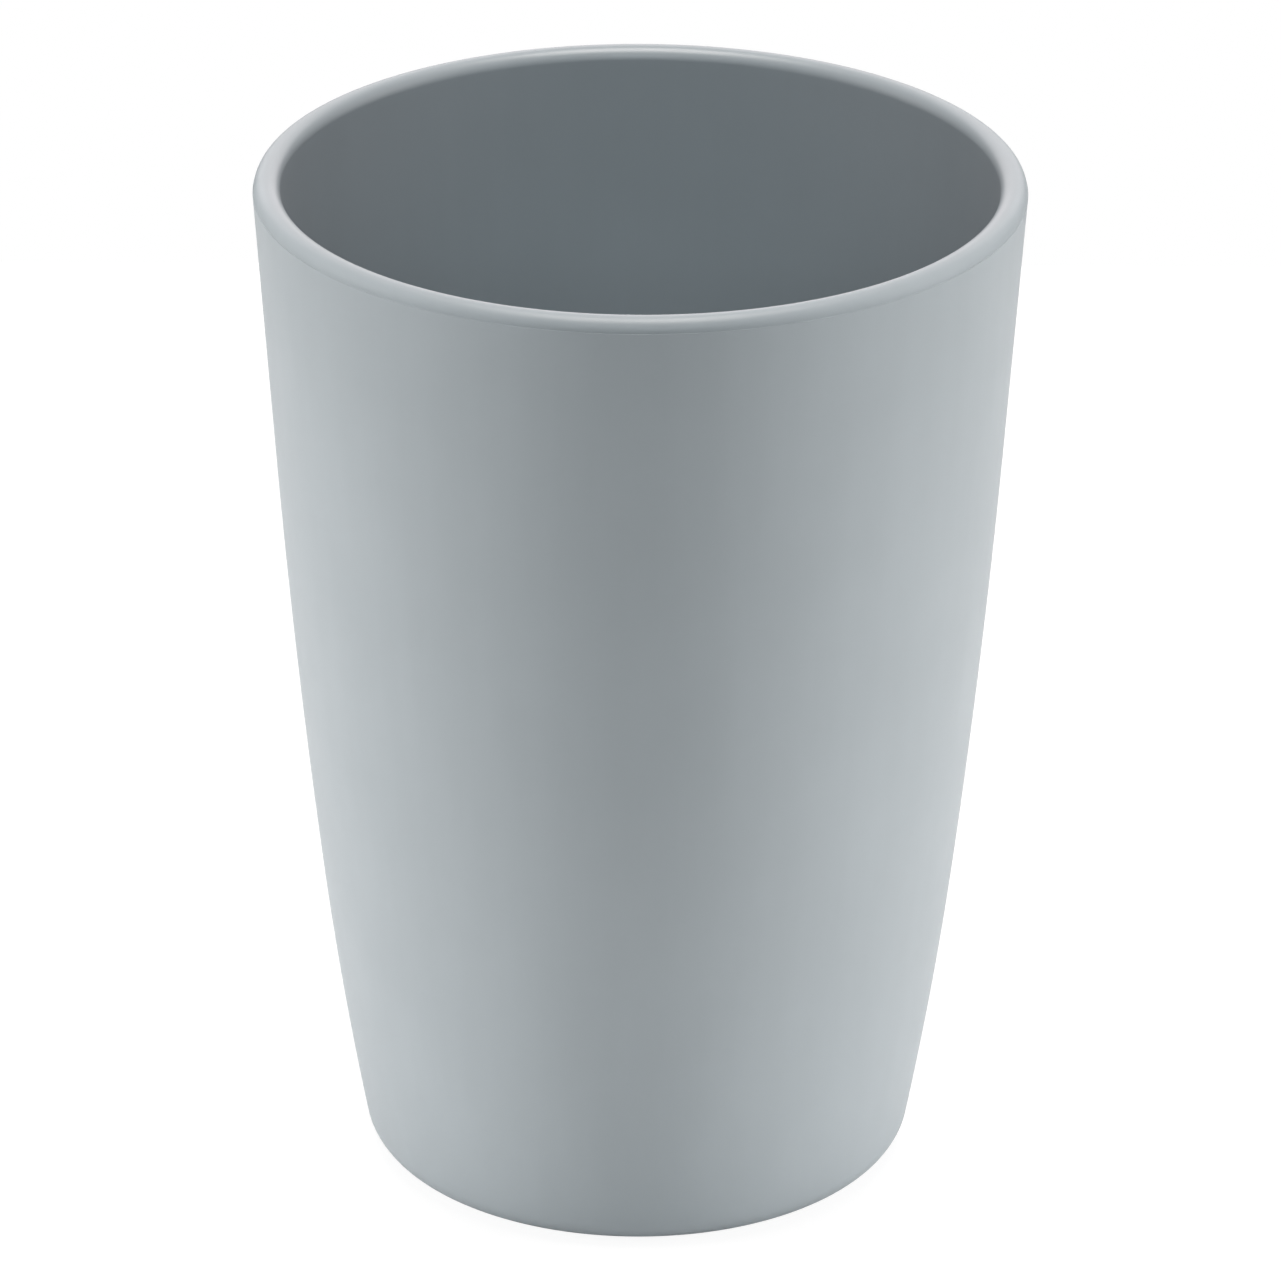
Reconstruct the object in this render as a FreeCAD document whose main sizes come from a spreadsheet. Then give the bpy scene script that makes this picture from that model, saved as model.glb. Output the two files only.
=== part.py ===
"""A plain tumbler for the bathroom shelf, moulded in one piece.

The wall leans out evenly below the lip, and bows in towards the foot. The lip is
a full round as thick as the wall, and the mould's parting line runs round its
widest point. Underneath, a narrow ring carries the cup, round a shallow recess
that has the moulding's gate mark in its middle.

Millimetres, +Z up. The origin is the middle of the plane that the foot rests on,
and the cup is round about Z.
"""
import FreeCAD, Part
import math
import os
import Sketcher

FULL_TURN = 360.0
RIGHT_ANGLE = 90.0

# The ends and the centre of a line or an arc, as a sketch counts them.
START, END, CENTRE = range(1, 4)
SKETCH_ORIGIN = (-1, 1)

# Alias, value in millimetres (the lean is in degrees), and what the size is.
SIZES = (
    ("cup_height", 110.0, "resting plane to the top of the lip"),
    ("rim_diameter", 80.0, "across the top edge of the wall, at the parting line"),
    ("wall_thickness", 2.86, "square to the wall, from the lip to the floor"),
    ("parting_step", 0.05, "how far the wall stands out past the lip at the parting line"),
    ("wall_lean", 4.0, "lean of the straight upper wall from upright"),
    ("straight_wall_start", 80.0, "height at which the wall becomes straight"),
    ("upper_bow_radius", 1040.0, "radius of the gentle bow below the straight wall"),
    ("lower_bow_start", 33.0, "height below which the wall bows in more"),
    ("lower_bow_radius", 440.0, "radius of the bow next to the foot"),
    ("foot_corner_radius", 4.2, "rounding between the wall and the resting plane"),
    ("floor_thickness", 2.8, "floor between the recess and the inside"),
    ("floor_corner_radius", 6.0, "rounding between the floor and the wall, inside"),
    ("foot_ring_width", 3.0, "flat ring that the cup rests on"),
    ("recess_depth", 1.2, "recess under the floor, inside the foot ring"),
    ("recess_side_width", 1.2, "how far the recess's side leans in over its depth"),
    ("gate_dimple_diameter", 9.0, "dimple round the gate mark"),
    ("gate_dimple_depth", 0.4, "dimple into the recess"),
    ("gate_mark_diameter", 2.0, "stub left where the plastic was let into the mould"),
    ("gate_mark_height", 0.25, "stub, standing down from the dimple"),
)

doc = FreeCAD.newDocument("tumbler")


def make_sheet():
    """Put every size in the sheet, one row each: its name, its value and what it is."""
    sheet = doc.addObject("Spreadsheet::Sheet", "sizes")
    for row, (alias, value, note) in enumerate(SIZES, start=1):
        sheet.set("A%d" % row, alias)
        sheet.set("B%d" % row, str(value))
        sheet.setAlias("B%d" % row, alias)
        sheet.set("C%d" % row, note)
    doc.recompute()
    return sheet


sheet = make_sheet()


def size(alias):
    """The value of one size in the sheet."""
    return float(sheet.get(alias))


def point(x, y):
    """A point or a direction in a sketch."""
    return FreeCAD.Vector(x, y, 0)


def heading(angle):
    """The direction at this angle from the sketch's X axis, in radians."""
    return point(math.cos(angle), math.sin(angle))


def angle_of(direction):
    """The angle of a direction from the sketch's X axis, in radians."""
    return math.atan2(direction.y, direction.x)


def new_sketch(body, role, name):
    """A sketch on one of the body's own origin planes."""
    sketch = body.newObject("Sketcher::SketchObject", name)
    plane = [feature for feature in body.Origin.OriginFeatures if feature.Role == role][0]
    sketch.AttachmentSupport = [(plane, "")]
    sketch.MapMode = "FlatFace"
    return sketch


def add_line(sketch, start, end):
    """A straight edge. Returns its number in the sketch."""
    return sketch.addGeometry(Part.LineSegment(start, end), False)


def add_arc(sketch, centre, start, end):
    """The arc that turns anticlockwise about centre from start to end. Returns its number."""
    circle = Part.Circle(centre, FreeCAD.Vector(0, 0, 1), start.distanceToPoint(centre))
    turn = Part.ArcOfCircle(circle, angle_of(start - centre), angle_of(end - centre))
    return sketch.addGeometry(turn, False)


def tie(sketch, kind, *places):
    """A constraint without a size."""
    sketch.addConstraint(Sketcher.Constraint(kind, *places))


def bind(sketch, name, kind, *places, expression):
    """A constraint whose size follows the sheet. The last of places is its size now."""
    number = sketch.addConstraint(Sketcher.Constraint(kind, *places))
    sketch.renameConstraint(number, name)
    sketch.setExpression("Constraints." + name, expression)


def nested_corner(bow_centre, bow_radius, corner_radius, level):
    """Round the corner between a level line and the inside of a bow.

    Returns the corner's centre, its point on the level line and its point on the bow.
    """
    rise = level + corner_radius - bow_centre.y
    reach = math.sqrt((bow_radius - corner_radius) ** 2 - rise ** 2)
    centre = point(bow_centre.x + reach, level + corner_radius)
    away = (centre - bow_centre).normalize()
    return centre, point(centre.x, level), bow_centre + away * bow_radius


def draw_wall_section(body):
    """Half of the cup cut down its axis: outside, lip, inside, floor and recess, in one outline.

    Every point is worked out here, so that the outline starts where its ties hold it.
    """
    thickness = size("wall_thickness")
    lip_radius = (thickness - size("parting_step")) / 2
    lean = math.radians(size("wall_lean"))
    out = heading(-lean)
    up = heading(math.radians(RIGHT_ANGLE) - lean)

    # Outside, from the parting line down.
    wall_top = point(size("rim_diameter") / 2, size("cup_height") - lip_radius)
    wall_start = wall_top - up * ((wall_top.y - size("straight_wall_start")) / up.y)
    upper_centre = wall_start - out * size("upper_bow_radius")
    bow_angle = math.asin((size("lower_bow_start") - upper_centre.y) / size("upper_bow_radius"))
    bow_out = heading(bow_angle)
    bow_join = upper_centre + bow_out * size("upper_bow_radius")
    lower_centre = bow_join - bow_out * size("lower_bow_radius")
    foot_centre, foot_edge, foot_top = nested_corner(
        lower_centre, size("lower_bow_radius"), size("foot_corner_radius"), 0)

    # Lip, then inside, which follows the outside one wall thickness in.
    lip_centre = wall_top - point((thickness - lip_radius) / out.x, 0)
    lip_edge = lip_centre + point(lip_radius, 0)
    inner_top = lip_centre - out * lip_radius
    inner_start = wall_start - out * thickness
    inner_join = bow_join - bow_out * thickness
    floor_height = size("recess_depth") + size("floor_thickness")
    floor_centre, floor_edge, floor_top = nested_corner(
        lower_centre, size("lower_bow_radius") - thickness, size("floor_corner_radius"), floor_height)
    floor_middle = point(0, floor_height)

    # Underneath, the recess and the ring round it.
    recess_height = size("recess_depth")
    ring_edge = point(foot_edge.x - size("foot_ring_width"), 0)
    recess_middle = point(0, recess_height)
    recess_edge = point(ring_edge.x - size("recess_side_width"), recess_height)

    sketch = new_sketch(body, "XZ_Plane", "wall_section")
    ring = add_line(sketch, ring_edge, foot_edge)
    foot_corner = add_arc(sketch, foot_centre, foot_edge, foot_top)
    lower_bow = add_arc(sketch, lower_centre, foot_top, bow_join)
    upper_bow = add_arc(sketch, upper_centre, bow_join, wall_start)
    wall = add_line(sketch, wall_start, wall_top)
    step = add_line(sketch, wall_top, lip_edge)
    lip = add_arc(sketch, lip_centre, lip_edge, inner_top)
    inner_wall = add_line(sketch, inner_top, inner_start)
    inner_upper_bow = add_arc(sketch, upper_centre, inner_join, inner_start)
    inner_lower_bow = add_arc(sketch, lower_centre, floor_top, inner_join)
    floor_corner = add_arc(sketch, floor_centre, floor_edge, floor_top)
    floor = add_line(sketch, floor_edge, floor_middle)
    axis = add_line(sketch, floor_middle, recess_middle)
    recess = add_line(sketch, recess_middle, recess_edge)
    recess_side = add_line(sketch, recess_edge, ring_edge)

    tie(sketch, "Horizontal", *SKETCH_ORIGIN, ring, START)
    tie(sketch, "Horizontal", ring)
    tie(sketch, "Tangent", ring, END, foot_corner, START)
    tie(sketch, "Tangent", foot_corner, END, lower_bow, START)
    tie(sketch, "Tangent", lower_bow, END, upper_bow, START)
    tie(sketch, "Tangent", upper_bow, END, wall, START)
    tie(sketch, "Coincident", wall, END, step, START)
    tie(sketch, "Horizontal", step)
    tie(sketch, "Coincident", step, END, lip, START)
    tie(sketch, "Horizontal", lip, CENTRE, lip, START)
    tie(sketch, "Tangent", lip, END, inner_wall, START)
    tie(sketch, "Parallel", wall, inner_wall)
    tie(sketch, "Tangent", inner_wall, END, inner_upper_bow, END)
    tie(sketch, "Tangent", inner_upper_bow, START, inner_lower_bow, END)
    tie(sketch, "Tangent", inner_lower_bow, START, floor_corner, END)
    tie(sketch, "Tangent", floor_corner, START, floor, START)
    tie(sketch, "Horizontal", floor)
    tie(sketch, "Coincident", floor, END, axis, START)
    tie(sketch, "Vertical", *SKETCH_ORIGIN, axis, START)
    tie(sketch, "Vertical", axis)
    tie(sketch, "Coincident", axis, END, recess, START)
    tie(sketch, "Horizontal", recess)
    tie(sketch, "Coincident", recess, END, recess_side, START)
    tie(sketch, "Coincident", recess_side, END, ring, START)
    tie(sketch, "Coincident", inner_upper_bow, CENTRE, upper_bow, CENTRE)
    tie(sketch, "Coincident", inner_lower_bow, CENTRE, lower_bow, CENTRE)

    bind(sketch, "rim_radius", "DistanceX", *SKETCH_ORIGIN, wall, END, wall_top.x,
         expression="sizes.rim_diameter / 2")
    bind(sketch, "lip_centre_height", "DistanceY", *SKETCH_ORIGIN, lip, CENTRE, lip_centre.y,
         expression="sizes.cup_height - (sizes.wall_thickness - sizes.parting_step) / 2")
    bind(sketch, "lip_radius", "Radius", lip, lip_radius,
         expression="(sizes.wall_thickness - sizes.parting_step) / 2")
    bind(sketch, "wall_angle", "Angle", wall, math.radians(RIGHT_ANGLE) - lean,
         expression="90 - sizes.wall_lean")
    bind(sketch, "wall_thickness", "Distance", inner_wall, START, wall, thickness,
         expression="sizes.wall_thickness")
    bind(sketch, "straight_wall_start", "DistanceY", *SKETCH_ORIGIN, wall, START, wall_start.y,
         expression="sizes.straight_wall_start")
    bind(sketch, "upper_bow_radius", "Radius", upper_bow, size("upper_bow_radius"),
         expression="sizes.upper_bow_radius")
    bind(sketch, "lower_bow_start", "DistanceY", *SKETCH_ORIGIN, upper_bow, START, bow_join.y,
         expression="sizes.lower_bow_start")
    bind(sketch, "lower_bow_radius", "Radius", lower_bow, size("lower_bow_radius"),
         expression="sizes.lower_bow_radius")
    bind(sketch, "foot_corner_radius", "Radius", foot_corner, size("foot_corner_radius"),
         expression="sizes.foot_corner_radius")
    bind(sketch, "floor_corner_radius", "Radius", floor_corner, size("floor_corner_radius"),
         expression="sizes.floor_corner_radius")
    bind(sketch, "floor_thickness", "DistanceY", axis, END, axis, START, size("floor_thickness"),
         expression="sizes.floor_thickness")
    bind(sketch, "recess_depth", "DistanceY", *SKETCH_ORIGIN, recess, END, recess_height,
         expression="sizes.recess_depth")
    bind(sketch, "recess_side_width", "DistanceX", recess_side, START, recess_side, END,
         size("recess_side_width"), expression="sizes.recess_side_width")
    bind(sketch, "foot_ring_width", "DistanceX", ring, START, ring, END, size("foot_ring_width"),
         expression="sizes.foot_ring_width")
    return sketch


def draw_circle(body, name, radius, radius_expression, height_expression):
    """A circle about the cup's axis, in a level sketch at the given height."""
    sketch = new_sketch(body, "XY_Plane", name)
    sketch.setExpression("AttachmentOffset.Base.z", height_expression)
    circle = Part.Circle(point(0, 0), FreeCAD.Vector(0, 0, 1), radius)
    number = sketch.addGeometry(circle, False)
    tie(sketch, "Coincident", number, CENTRE, *SKETCH_ORIGIN)
    bind(sketch, "radius", "Radius", number, radius, expression=radius_expression)
    return sketch


def volume_of(body):
    """The body's volume as it is now."""
    doc.recompute()
    return body.Shape.Volume


def cut_up(body, name, sketch, depth_expression):
    """Cut a level sketch upwards into the floor, and make sure that something was cut."""
    before = volume_of(body)
    pocket = body.newObject("PartDesign::Pocket", name)
    pocket.Profile = sketch
    pocket.Reversed = True
    pocket.setExpression("Length", depth_expression)
    if volume_of(body) >= before:
        raise RuntimeError(name + " cut nothing")
    return pocket


def make_cup_body():
    """The whole cup: the turned wall and floor, and the gate mark in the recess underneath."""
    body = doc.addObject("PartDesign::Body", "cup_body")
    body.Label = "cup_body"

    section = draw_wall_section(body)
    shell = body.newObject("PartDesign::Revolution", "moulded_shell")
    shell.Profile = section
    shell.ReferenceAxis = (section, ["V_Axis"])
    shell.Angle = FULL_TURN
    doc.recompute()

    dimple_circle = draw_circle(
        body, "dimple_circle", size("gate_dimple_diameter") / 2,
        "sizes.gate_dimple_diameter / 2", "sizes.recess_depth")
    cut_up(body, "gate_dimple", dimple_circle, "sizes.gate_dimple_depth")

    mark_circle = draw_circle(
        body, "gate_mark_circle", size("gate_mark_diameter") / 2,
        "sizes.gate_mark_diameter / 2", "sizes.recess_depth + sizes.gate_dimple_depth")
    mark = body.newObject("PartDesign::Pad", "gate_mark")
    mark.Profile = mark_circle
    mark.Reversed = True
    mark.setExpression("Length", "sizes.gate_mark_height")

    body.Placement = FreeCAD.Placement()
    return body


def check_document(bodies):
    """Stop if any object failed, or if a body isn't one sound solid."""
    doc.recompute()
    for item in doc.Objects:
        if "Invalid" in item.State or "Error" in item.State:
            raise RuntimeError("%s failed: %s" % (item.Name, item.State))
    for body in bodies:
        if body.Shape.isNull() or not body.Shape.isValid():
            raise RuntimeError(body.Label + " has no sound shape")
        if len(body.Shape.Solids) != 1:
            raise RuntimeError("%s has %d solids" % (body.Label, len(body.Shape.Solids)))


bodies = [make_cup_body()]
check_document(bodies)
os.makedirs("parts", exist_ok=True)
for body in bodies:
    body.Shape.exportStep(os.path.join("parts", body.Label + ".step"))
    print("%s: %.1f cubic mm, %d faces" % (body.Label, body.Shape.Volume, len(body.Shape.Faces)))
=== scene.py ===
"""A plain moulded tumbler on a pale floor in soft studio light, seen as in the photograph.

The cup is one surface turned about its axis, on the same sizes as the CAD part that it
stands for, with the sharp moulded edges eased. Metres, +Z up, the foot ring on Z = 0.
"""
import math

import bpy
import numpy as np
from mathutils import Matrix, Vector


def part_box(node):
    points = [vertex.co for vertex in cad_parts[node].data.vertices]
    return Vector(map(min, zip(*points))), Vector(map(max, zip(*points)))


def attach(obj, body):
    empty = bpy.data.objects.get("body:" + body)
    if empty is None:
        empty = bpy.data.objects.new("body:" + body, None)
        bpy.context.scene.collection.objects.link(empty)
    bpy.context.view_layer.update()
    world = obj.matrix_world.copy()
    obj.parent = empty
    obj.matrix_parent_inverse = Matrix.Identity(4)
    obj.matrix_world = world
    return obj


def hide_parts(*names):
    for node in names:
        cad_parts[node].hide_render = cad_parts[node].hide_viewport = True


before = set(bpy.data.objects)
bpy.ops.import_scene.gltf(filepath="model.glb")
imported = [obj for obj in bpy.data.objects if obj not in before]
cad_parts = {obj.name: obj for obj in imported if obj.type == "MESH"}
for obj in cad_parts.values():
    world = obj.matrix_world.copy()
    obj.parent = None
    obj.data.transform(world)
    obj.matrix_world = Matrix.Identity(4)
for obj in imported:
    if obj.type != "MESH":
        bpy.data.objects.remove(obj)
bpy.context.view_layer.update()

MM = 0.001

# The cup's sizes that its box doesn't give.
WALL = 2.86 * MM
WALL_LEAN = math.radians(4)
STRAIGHT_WALL_START = 80 * MM
UPPER_BOW_RADIUS = 1040 * MM
LOWER_BOW_START = 33 * MM
LOWER_BOW_RADIUS = 440 * MM
PARTING_STEP = 0.05 * MM
FOOT_CORNER_RADIUS = 4.2 * MM
FOOT_RING_WIDTH = 3 * MM
RECESS_DEPTH = 1.2 * MM
RECESS_SIDE_WIDTH = 1.2 * MM
FLOOR_THICKNESS = 2.8 * MM
FLOOR_CORNER_RADIUS = 6 * MM
GATE_DIMPLE_RADIUS = 4.5 * MM
GATE_DIMPLE_DEPTH = 0.4 * MM
GATE_MARK_RADIUS = 1 * MM
GATE_MARK_HEIGHT = 0.25 * MM

# How far back from its corner each moulded edge starts to round.
PARTING_EASE = 0.02 * MM
RING_EASE = 0.3 * MM
RECESS_EASE = 0.5 * MM
DIMPLE_EASE = 0.15 * MM
GATE_MARK_EASE = 0.08 * MM
GATE_MARK_ROOT_EASE = 0.04 * MM

# The flats beside an eased corner have a row this many eases from it.
FLAT_END = 1.3

# Rows of points on each stretch of the section, and columns round the axis.
EASED_CORNER_ROWS = 7
PARTING_EDGE_ROWS = 5
FOOT_CORNER_ROWS = 22
LOWER_BOW_ROWS = 20
UPPER_BOW_ROWS = 24
STRAIGHT_WALL_ROWS = 16
LIP_ROWS = 40
INSIDE_STRAIGHT_WALL_ROWS = 14
INSIDE_UPPER_BOW_ROWS = 18
INSIDE_LOWER_BOW_ROWS = 16
FLOOR_CORNER_ROWS = 20
FLOOR_ROWS = 12
COLUMNS = 288

# Two rows closer together than this are one.
SAME_PLACE = 0.0001 * MM

# The plastic's colour as light reflected, and how far clouds and flow streaks stray from it.
# The clouds have a share of that, and the streaks the rest.
PLASTIC_COLOUR = (0.373, 0.42, 0.448)
COLOUR_STRAY = 0.025
CLOUD_SHARE = 0.7
CLOUDS_PER_MM = 0.045
STREAKS_PER_MM = (0.35, 0.35, 0.012)

# The plastic's gloss, as roughness in its smooth and rough patches, and its fine etched grain.
SMOOTH_PATCH, ROUGH_PATCH = 0.46, 0.52
PATCHES_PER_MM = 0.11
PLASTIC_IOR = 1.5
GRAIN_STRENGTH = 0.12
GRAIN_DEPTH = 0.02 * MM
GRAINS_PER_MM = 3.4

# Scuffs on the foot ring: the levels where they are full and gone, and what they do to the plastic.
SCUFFS_FULL, SCUFFS_GONE = 0.05 * MM, 0.9 * MM
SCUFFS_PER_MM = 1.4
SCUFF_COVER = 0.35
SCUFF_LIGHTENS = 1.45
SCUFF_ROUGHENS = 0.2

# What polish takes off the lip's roughness, at its inner edge and elsewhere. It starts and is
# full at depths under the top. The inner edge ends and the rest starts at depths in from the rim.
INNER_EDGE_POLISH, LIP_POLISH = 0.15, 0.06
POLISH_STARTS, POLISH_FULL = 1.6 * MM, 0.3 * MM
INNER_EDGE_ENDS, REST_STARTS = 1.8 * MM, 1.0 * MM

WHITE = (1, 1, 1)

# The floor: half its width, its depth under the foot ring, and its colour as light reflected.
FLOOR_REACH = 250 * MM
FLOOR_DROP = 0.01 * MM
FLOOR_COLOUR = (0.86, 0.86, 0.86)

# What the camera sees of the floor: a glow and a grey that the lamps light, together white.
FLOOR_GLOW = 0.9
SHADOW_GREY = (0.17, 0.17, 0.17)

# Gloss sees plain paint to the first distance from the axis, and white from the second: a painted
# shadow under the cup in the floor's glow.
PAINT_IN_GLOSS, WHITE_IN_GLOSS = 24 * MM, 40 * MM

# The strength of the light from all round.
SURROUNDING_LIGHT = 0.02

# Where the photograph's camera stood, from a fit to the cup's outline. Its angles are in
# radians, its lens and sensor in millimetres, and the nearest and farthest it sees in metres.
CAMERA_PLACE = Vector((0, -822.81 * MM, 429.09 * MM))
CAMERA_PITCH = 0.424392
CAMERA_ROLL = 0.00397
CAMERA_YAW = -0.000235
CAMERA_LENS = 240.13
SENSOR = 36
CLIP_START, CLIP_END = 0.05, 50

# The softboxes aim at this height on the axis. Their distances and sizes are in metres, and
# their powers in watts. The fills make no highlight, because it would clip the lip to white.
AIM_HEIGHT = 55 * MM
SOFTBOXES = [
    # name, azimuth, elevation, distance, width, height, power, tint, highlight
    ("overhead", 0, 90, 1.0, 0.6, 0.6, 9.7, (1.0, 0.95, 0.92), True),
    ("front", 0, 30, 1.1, 0.5, 0.4, 1.95, (0.84, 0.95, 1.0), True),
    ("behind", 180, 25, 1.3, 1.6, 1.0, 8.1, (1.0, 0.93, 0.94), True),
    ("left", -90, 20, 1.1, 0.6, 0.7, 1.65, (1.0, 0.91, 0.90), True),
    ("right", 90, 20, 1.1, 0.6, 0.7, 1.65, (1.0, 0.91, 0.90), True),
    ("left_fill", -85, 3.5, 0.4, 0.17, 0.056, 0.97, (1.0, 0.97, 0.94), False),
    ("right_fill", 85, 3.5, 0.4, 0.17, 0.056, 0.97, (1.0, 0.97, 0.94), False),
]


def heading(angle):
    """The unit step at this angle above level: outwards + i upwards."""
    return complex(math.cos(angle), math.sin(angle))


def line(start, end, rows):
    """A straight run: start + (end - start) s, with s closer together at both ends.

    s = (1 - cos(pi k / (rows - 1))) / 2 for k = 0 to rows - 1, so that the rows beside a
    rounded corner are near it and the flat between them stays flat in the shading.
    """
    shares = (1 - np.cos(np.pi * np.arange(rows) / (rows - 1))) / 2
    return start + (end - start) * shares


def arc(centre, radius, first, last, rows):
    """A round run: centre + radius e^(i a), with a going evenly from first to last."""
    return centre + radius * np.exp(1j * np.linspace(first, last, rows))


def eased_line(points, eases, rows):
    """A run of flats through the points, with each inner corner rounded by its ease.

    A corner c between p and q becomes (1-t)^2 a + 2 t (1-t) c + t^2 b with t from 0 to 1,
    where a and b lie one ease from c towards p and q. A row just outside a and b keeps
    the flats flat in the shading.
    """
    t = np.linspace(0, 1, rows)
    runs = [points[:1]]
    for before, corner, after, ease in zip(points, points[1:], points[2:], eases):
        back = (before - corner) / abs(before - corner) * ease
        on = (after - corner) / abs(after - corner) * ease
        curve = (1 - t) ** 2 * back + t ** 2 * on
        runs.append(corner + np.concatenate([[FLAT_END * back], curve, [FLAT_END * on]]))
    return np.concatenate(runs + [points[-1:]])


def nested_corner(bow_centre, bow_radius, radius, level):
    """The arc of the corner between a level line and a bow: its centre, and its angle at the bow.

    The centre is one corner radius above the level, and bow_radius - radius from the bow's centre.
    """
    rise = level + radius - bow_centre.imag
    reach = math.sqrt((bow_radius - radius) ** 2 - rise ** 2)
    return bow_centre + complex(reach, rise), math.atan2(rise, reach)


def cup_section(rim_radius, height):
    """Half the cup's section, each point as its distance from the axis + i its height.

    It goes from the middle of the underside out to the foot, up the outside, over the lip
    and down the inside to the middle of the floor. The wall outside is a straight line and
    two bows, each tangent to the last, and the inside lies one wall thickness in from it.
    """
    lip_radius = (WALL - PARTING_STEP) / 2
    out, up = heading(-WALL_LEAN), heading(math.pi / 2 - WALL_LEAN)
    wall_top = complex(rim_radius, height - lip_radius)
    wall_start = wall_top - up * (wall_top.imag - STRAIGHT_WALL_START) / up.imag
    upper_bow = wall_start - out * UPPER_BOW_RADIUS
    bow_angle = math.asin((LOWER_BOW_START - upper_bow.imag) / UPPER_BOW_RADIUS)
    lower_bow = upper_bow + heading(bow_angle) * (UPPER_BOW_RADIUS - LOWER_BOW_RADIUS)
    # The lip's centre is level with the wall's top, and one lip radius out from the inside.
    lip = wall_top - (WALL - lip_radius) / out.real

    foot, foot_angle = nested_corner(lower_bow, LOWER_BOW_RADIUS, FOOT_CORNER_RADIUS, 0)
    floor_level = RECESS_DEPTH + FLOOR_THICKNESS
    floor, floor_angle = nested_corner(
        lower_bow, LOWER_BOW_RADIUS - WALL, FLOOR_CORNER_RADIUS, floor_level)

    recess_roof = RECESS_DEPTH
    dimple_roof = recess_roof + GATE_DIMPLE_DEPTH
    mark_face = dimple_roof - GATE_MARK_HEIGHT
    ring_inside = foot.real - FOOT_RING_WIDTH
    underside = eased_line(
        np.array([
            complex(0, mark_face),
            complex(GATE_MARK_RADIUS, mark_face),
            complex(GATE_MARK_RADIUS, dimple_roof),
            complex(GATE_DIMPLE_RADIUS, dimple_roof),
            complex(GATE_DIMPLE_RADIUS, recess_roof),
            complex(ring_inside - RECESS_SIDE_WIDTH, recess_roof),
            complex(ring_inside, 0),
            complex(foot.real, 0),
        ]),
        [GATE_MARK_EASE, GATE_MARK_ROOT_EASE, DIMPLE_EASE, DIMPLE_EASE, RECESS_EASE, RING_EASE],
        EASED_CORNER_ROWS)

    wall_end = wall_top - up * 2 * PARTING_EASE
    outside = [
        arc(foot, FOOT_CORNER_RADIUS, -math.pi / 2, foot_angle, FOOT_CORNER_ROWS),
        arc(lower_bow, LOWER_BOW_RADIUS, foot_angle, bow_angle, LOWER_BOW_ROWS),
        arc(upper_bow, UPPER_BOW_RADIUS, bow_angle, -WALL_LEAN, UPPER_BOW_ROWS),
        line(wall_start, wall_end, STRAIGHT_WALL_ROWS),
    ]
    lip_start = PARTING_STEP / lip_radius
    step = eased_line(
        np.array([wall_end, wall_top, lip + lip_radius, lip + lip_radius * heading(lip_start)]),
        [PARTING_EASE, PARTING_EASE],
        PARTING_EDGE_ROWS)
    over_lip = arc(lip, lip_radius, lip_start, math.pi - WALL_LEAN, LIP_ROWS)
    inside = [
        line(lip - out * lip_radius, wall_start - out * WALL, INSIDE_STRAIGHT_WALL_ROWS),
        arc(upper_bow, UPPER_BOW_RADIUS - WALL, -WALL_LEAN, bow_angle, INSIDE_UPPER_BOW_ROWS),
        arc(lower_bow, LOWER_BOW_RADIUS - WALL, bow_angle, floor_angle, INSIDE_LOWER_BOW_ROWS),
        arc(floor, FLOOR_CORNER_RADIUS, floor_angle, -math.pi / 2, FLOOR_CORNER_ROWS),
        line(complex(floor.real, floor_level), complex(0, floor_level), FLOOR_ROWS),
    ]
    section = np.concatenate([underside, *outside, step, over_lip, *inside])
    return section[np.append(abs(np.diff(section)) > SAME_PLACE, True)]


def turned(name, section, columns):
    """A closed surface of revolution: the point at section s and azimuth a is (r cos a, r sin a, z).

    s = r + i z runs down the rows, and a round the columns. The section's two ends lie on
    the axis, and each is one point with a fan of triangles round it.
    """
    rings = section[1:-1]
    azimuth = 2 * np.pi * np.arange(columns) / columns
    ring_points = np.stack([
        np.outer(rings.real, np.cos(azimuth)),
        np.outer(rings.real, np.sin(azimuth)),
        np.outer(rings.imag, np.ones(columns))], axis=-1).reshape(-1, 3)
    poles = [(0, 0, section[0].imag), (0, 0, section[-1].imag)]
    points = np.concatenate([ring_points, poles])

    index = np.arange(len(ring_points)).reshape(len(rings), columns)
    beside = np.roll(index, -1, axis=1)
    quads = np.stack([index[:-1], beside[:-1], beside[1:], index[1:]], axis=-1).reshape(-1, 4)
    first_pole, last_pole = len(ring_points), len(ring_points) + 1
    first_fan = np.stack([beside[0], index[0], np.full(columns, first_pole)], axis=-1)
    last_fan = np.stack([index[-1], beside[-1], np.full(columns, last_pole)], axis=-1)

    mesh = bpy.data.meshes.new(name)
    mesh.from_pydata(points.tolist(), [], quads.tolist() + first_fan.tolist() + last_fan.tolist())
    mesh.shade_smooth()
    piece = bpy.data.objects.new(name, mesh)
    bpy.context.scene.collection.objects.link(piece)
    return piece


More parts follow.
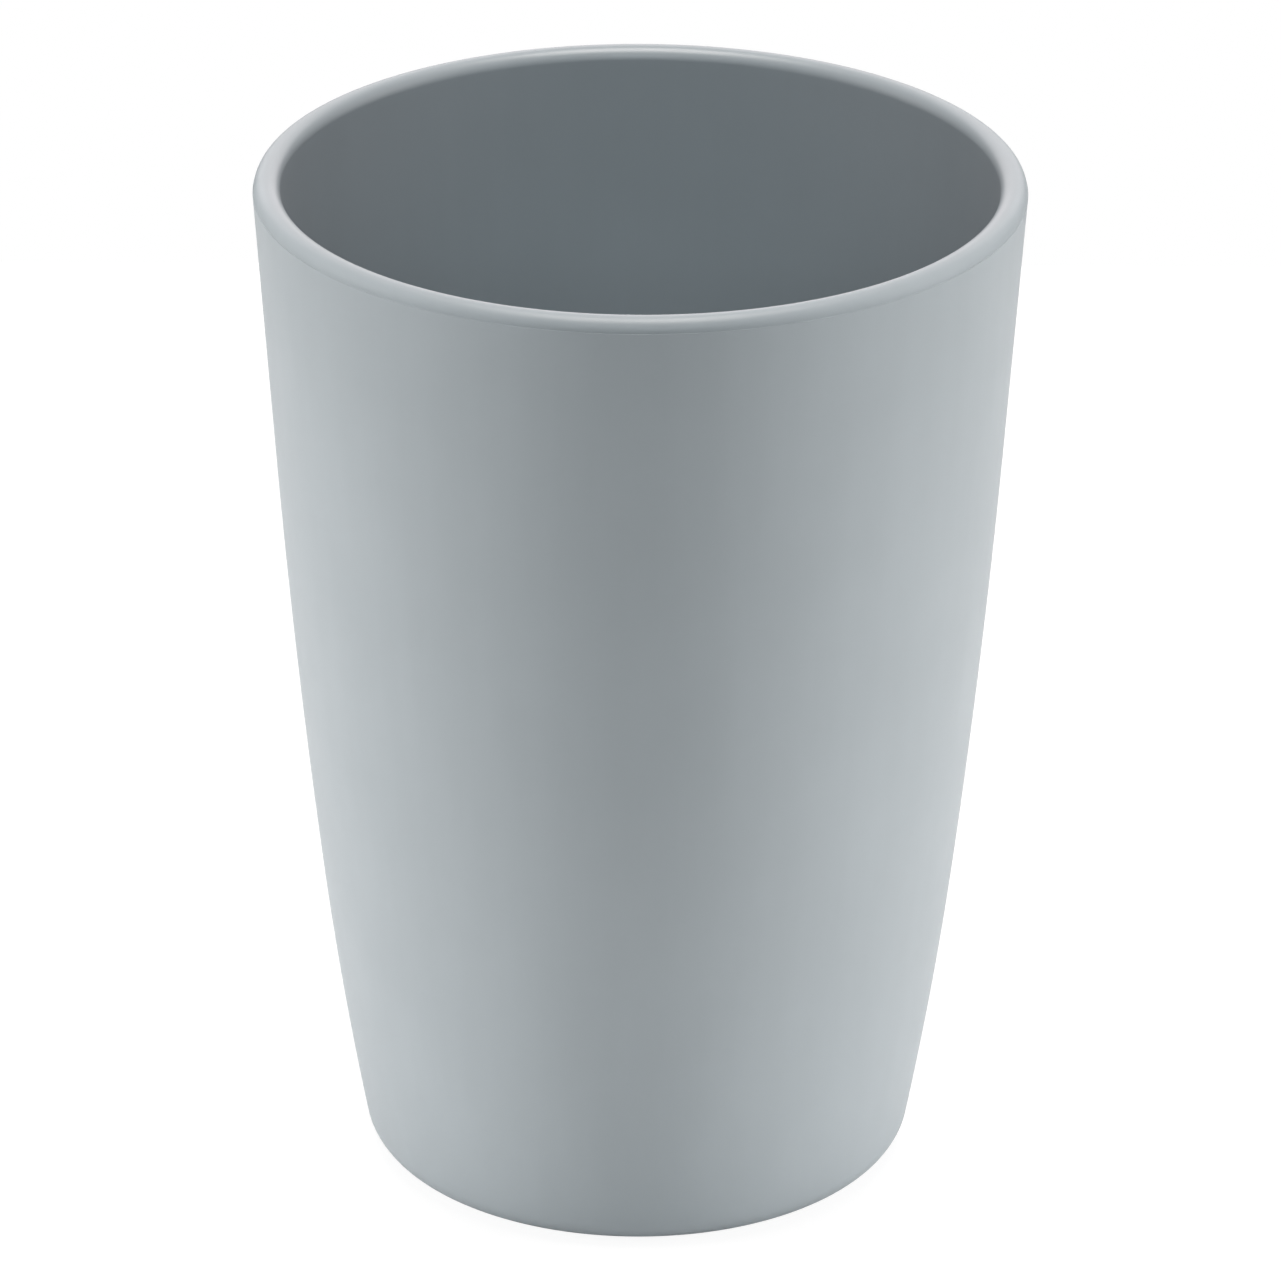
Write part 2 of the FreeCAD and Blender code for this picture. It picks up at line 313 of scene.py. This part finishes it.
class Nodes:
    """A material's or world's node tree, with short calls to add and join its nodes."""

    def __init__(self, owner):
        owner.use_nodes = True
        self.tree = owner.node_tree
        self.tree.nodes.clear()

    def add(self, kind, inputs=None, **settings):
        """Add a node, set its properties, and fill or link its inputs."""
        node = self.tree.nodes.new(kind)
        for setting, value in settings.items():
            setattr(node, setting, value)
        for socket, value in (inputs or {}).items():
            if isinstance(value, bpy.types.NodeSocket):
                self.tree.links.new(value, node.inputs[socket])
            else:
                node.inputs[socket].default_value = value
        return node

    def maths(self, operation, first, second):
        """One operation on two values."""
        node = self.add("ShaderNodeMath", {0: first, 1: second}, operation=operation)
        return node.outputs[0]

    def spread(self, value, low, high, to_low, to_high, smooth=False):
        """Value mapped from low..high to to_low..to_high, and held at the ends."""
        node = self.add(
            "ShaderNodeMapRange",
            {"Value": value, "From Min": low, "From Max": high, "To Min": to_low, "To Max": to_high},
            interpolation_type="SMOOTHSTEP" if smooth else "LINEAR")
        return node.outputs["Result"]

    def noise(self, place, scale, detail, roughness=0.5):
        """Soft noise from 0 to 1 with about scale lumps to one unit of place."""
        node = self.add("ShaderNodeTexNoise", {
            "Vector": place, "Scale": scale, "Detail": detail, "Roughness": roughness})
        return node.outputs["Fac"]

    def stretched(self, place, scale):
        """A place with each of its three coordinates times its own scale."""
        node = self.add("ShaderNodeMapping", {"Vector": place, "Scale": scale})
        return node.outputs["Vector"]

    def mixed(self, share, first, second):
        """A colour between first and second, by share. The node's sockets 6 and 7 are its colours."""
        node = self.add("ShaderNodeMix", {0: share, 6: first, 7: second}, data_type="RGBA")
        return node.outputs[2]


def opaque(colour):
    """A colour with full alpha."""
    return (*colour, 1)


def scaled(colour, share):
    """A colour with each channel times share."""
    return opaque(channel * share for channel in colour)


def satin_plastic(rim_radius, height):
    """Moulded plastic from a finely etched mould: soft gloss, faint flow marks, a worn foot ring.

    Noise is worked out on millimetres, and levels and distances on metres.
    """
    material = bpy.data.materials.new("satin_blue_grey")
    nodes = Nodes(material)
    place = nodes.add("ShaderNodeTexCoord").outputs["Object"]
    in_mm = nodes.stretched(place, (1 / MM, 1 / MM, 1 / MM))
    level = nodes.add("ShaderNodeSeparateXYZ", {0: place}).outputs["Z"]
    across = nodes.stretched(place, (1, 1, 0))
    from_axis = nodes.add("ShaderNodeVectorMath", {0: across}, operation="LENGTH").outputs["Value"]

    cloud = nodes.noise(in_mm, CLOUDS_PER_MM, detail=3)
    streaks = nodes.noise(nodes.stretched(in_mm, STREAKS_PER_MM), scale=1, detail=3)
    tone = nodes.maths(
        "ADD",
        nodes.maths("MULTIPLY", cloud, CLOUD_SHARE),
        nodes.maths("MULTIPLY", streaks, 1 - CLOUD_SHARE))
    clean = nodes.mixed(
        nodes.spread(tone, low=0.35, high=0.65, to_low=0, to_high=1),
        scaled(PLASTIC_COLOUR, 1 - COLOUR_STRAY),
        scaled(PLASTIC_COLOUR, 1 + COLOUR_STRAY))

    scuffs = nodes.noise(in_mm, SCUFFS_PER_MM, detail=4, roughness=0.65)
    on_ring = nodes.spread(level, SCUFFS_FULL, SCUFFS_GONE, to_low=1, to_high=0, smooth=True)
    scuffed = nodes.spread(scuffs, low=0.42, high=0.62, to_low=0, to_high=1)
    worn = nodes.maths("MULTIPLY", on_ring, scuffed)
    colour = nodes.mixed(
        nodes.maths("MULTIPLY", worn, SCUFF_COVER), clean, scaled(PLASTIC_COLOUR, SCUFF_LIGHTENS))

    patches = nodes.noise(in_mm, PATCHES_PER_MM, detail=4, roughness=0.6)
    gloss = nodes.spread(patches, low=0.3, high=0.7, to_low=SMOOTH_PATCH, to_high=ROUGH_PATCH)
    worn_gloss = nodes.maths("ADD", gloss, nodes.maths("MULTIPLY", worn, SCUFF_ROUGHENS))
    near_top = nodes.spread(
        level, height - POLISH_STARTS, height - POLISH_FULL, to_low=0, to_high=1, smooth=True)
    polish = nodes.spread(
        from_axis, rim_radius - INNER_EDGE_ENDS, rim_radius - REST_STARTS,
        to_low=INNER_EDGE_POLISH, to_high=LIP_POLISH, smooth=True)
    rough = nodes.maths("SUBTRACT", worn_gloss, nodes.maths("MULTIPLY", near_top, polish))

    etched = nodes.noise(in_mm, GRAINS_PER_MM, detail=2, roughness=0.6)
    grain = nodes.add("ShaderNodeBump", {
        "Strength": GRAIN_STRENGTH, "Distance": GRAIN_DEPTH, "Height": etched})

    shader = nodes.add("ShaderNodeBsdfPrincipled", {
        "Base Color": colour, "Roughness": rough, "IOR": PLASTIC_IOR,
        "Normal": grain.outputs["Normal"]})
    nodes.add("ShaderNodeOutputMaterial", {"Surface": shader.outputs["BSDF"]})
    return material


def pale_floor():
    """A level white sheet, which takes the cup's shadow and shows white to the camera and to gloss.

    Gloss sees the plain paint under the cup, where no light falls, so the glow there is cut off as a
    painted shadow. The sheet lies a little under the foot ring, so that the two don't lie in one
    plane.
    """
    mesh = bpy.data.meshes.new("floor")
    corners = [(-1, -1), (1, -1), (1, 1), (-1, 1)]
    points = [(x * FLOOR_REACH, y * FLOOR_REACH, -FLOOR_DROP) for x, y in corners]
    mesh.from_pydata(points, [], [(0, 1, 2, 3)])
    sheet = bpy.data.objects.new("floor", mesh)
    bpy.context.scene.collection.objects.link(sheet)

    material = bpy.data.materials.new("floor_white")
    nodes = Nodes(material)
    paint = nodes.add("ShaderNodeBsdfDiffuse", {"Color": opaque(FLOOR_COLOUR)})
    glow = nodes.add("ShaderNodeEmission", {"Color": opaque(WHITE), "Strength": FLOOR_GLOW})
    shadow_catcher = nodes.add("ShaderNodeBsdfDiffuse", {"Color": opaque(SHADOW_GREY)})
    white = nodes.add("ShaderNodeAddShader", {0: glow.outputs[0], 1: shadow_catcher.outputs[0]})
    place = nodes.add("ShaderNodeTexCoord").outputs["Object"]
    distance = nodes.add("ShaderNodeVectorMath", {0: place}, operation="LENGTH").outputs["Value"]
    # Painted shadow: gloss sees the floor's glow only away from the cup, and plain paint under it.
    glow_outside_painted_shadow = nodes.spread(
        distance, PAINT_IN_GLOSS, WHITE_IN_GLOSS, to_low=0, to_high=1, smooth=True)
    ray = nodes.add("ShaderNodeLightPath")
    in_gloss = nodes.maths("MULTIPLY", ray.outputs["Is Glossy Ray"], glow_outside_painted_shadow)
    look = nodes.add("ShaderNodeMixShader", {
        0: nodes.maths("MAXIMUM", ray.outputs["Is Camera Ray"], in_gloss),
        1: paint.outputs[0],
        2: white.outputs[0]})
    nodes.add("ShaderNodeOutputMaterial", {"Surface": look.outputs[0]})
    mesh.materials.append(material)


def white_surroundings():
    """An even dim light from all round, which the camera sees as white.

    Gloss sees it dim too. Nothing here is metal or glass, and white would lift the lip's edge.
    """
    world = bpy.data.worlds.new("studio")
    bpy.context.scene.world = world
    nodes = Nodes(world)
    ray = nodes.add("ShaderNodeLightPath")
    strength = nodes.maths("MAXIMUM", ray.outputs["Is Camera Ray"], SURROUNDING_LIGHT)
    glow = nodes.add("ShaderNodeBackground", {"Color": opaque(WHITE), "Strength": strength})
    nodes.add("ShaderNodeOutputWorld", {"Surface": glow.outputs[0]})


def softbox(name, azimuth, elevation, distance, width, height, power, tint, highlight):
    """A rectangular softbox aimed at the cup's middle.

    Azimuth goes from the camera's side, 0, to the right, 90, and the back, 180, in degrees.
    """
    lamp = bpy.data.lights.new(name, "AREA")
    lamp.shape = "RECTANGLE"
    lamp.size, lamp.size_y = width, height
    lamp.energy = power
    lamp.color = tint
    box = bpy.data.objects.new(name, lamp)
    turn, rise = math.radians(azimuth), math.radians(elevation)
    away = Vector((math.sin(turn) * math.cos(rise), -math.cos(turn) * math.cos(rise), math.sin(rise)))
    box.location = Vector((0, 0, AIM_HEIGHT)) + away * distance
    box.rotation_euler = away.to_track_quat("Z", "Y").to_euler()
    box.visible_camera = False
    box.visible_glossy = highlight
    bpy.context.scene.collection.objects.link(box)


def photograph_camera():
    """The camera at the photograph's place, rolled, pitched down and turned by what the fit gave."""
    camera = bpy.data.cameras.new("camera")
    camera.lens, camera.sensor_width = CAMERA_LENS, SENSOR
    camera.clip_start, camera.clip_end = CLIP_START, CLIP_END
    view = bpy.data.objects.new("camera", camera)
    turned_view = (
        Matrix.Rotation(CAMERA_YAW, 4, "Z")
        @ Matrix.Rotation(math.pi / 2 - CAMERA_PITCH, 4, "X")
        @ Matrix.Rotation(CAMERA_ROLL, 4, "Z"))
    view.matrix_world = Matrix.Translation(CAMERA_PLACE) @ turned_view
    bpy.context.scene.collection.objects.link(view)
    bpy.context.scene.camera = view


_, top_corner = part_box("cup_body")
cup = turned("cup_moulding", cup_section(top_corner.x, top_corner.z), COLUMNS)
cup.data.materials.append(satin_plastic(top_corner.x, top_corner.z))
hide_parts("cup_body")
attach(cup, "root")

pale_floor()
white_surroundings()
photograph_camera()
for box in SOFTBOXES:
    softbox(*box)

bpy.context.scene.view_settings.view_transform = "Standard"
